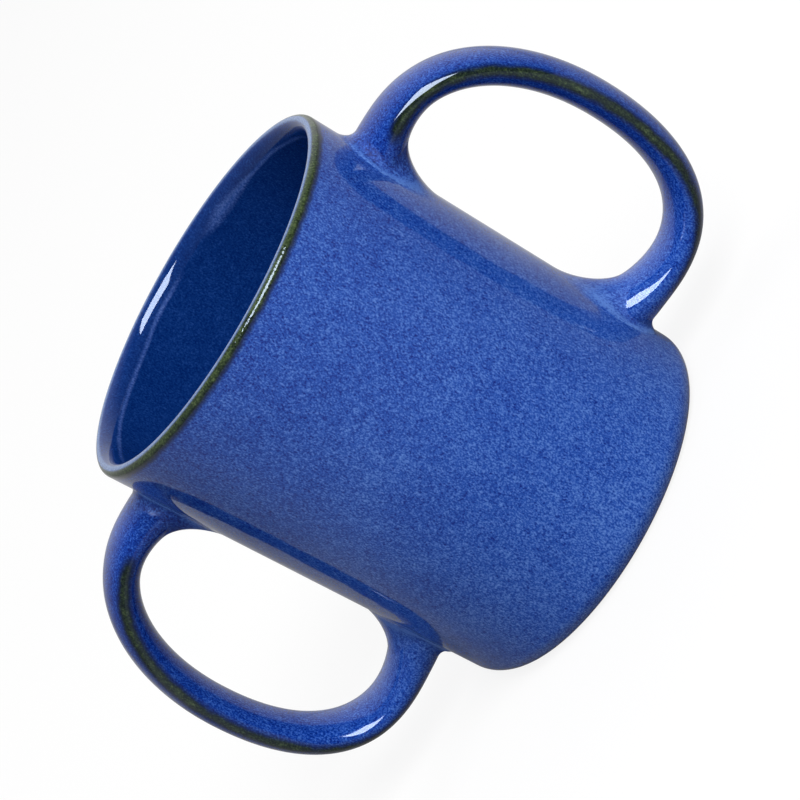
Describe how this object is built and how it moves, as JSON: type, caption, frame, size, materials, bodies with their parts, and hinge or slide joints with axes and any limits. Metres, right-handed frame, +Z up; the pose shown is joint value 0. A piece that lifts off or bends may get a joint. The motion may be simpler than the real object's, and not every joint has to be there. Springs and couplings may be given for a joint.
{
  "type": "two-handled mug",
  "caption": "Stoneware mug with a turned, slightly tapered cup, a round lip and foot ring, and a looped oval strap handle luted on to each side for holding with both hands.",
  "frame": {"origin": "centre of the foot ring, on the surface that the mug stands on", "axes": "+Z up along the cup's axis, +X towards the right handle and -X towards the left one"},
  "size_m": [0.1582, 0.084, 0.0965],
  "materials": {
    "cup_glaze": "glossy mottled cobalt-blue glaze on stoneware, darker inside, thin and olive on the lip, bare clay on the foot ring",
    "handle_glaze": "glossy cobalt-blue glaze on stoneware, thin and olive along the strap's side edges",
    "luting_glaze": "glossy mottled cobalt-blue glaze over smoothed slip"
  },
  "bodies": {
    "root": {"cup_body": "cup_glaze", "right_handle": "handle_glaze", "left_handle": "handle_glaze", "right_upper_luting": "luting_glaze", "right_lower_luting": "luting_glaze", "left_upper_luting": "luting_glaze", "left_lower_luting": "luting_glaze"}
  },
  "joints": []
}
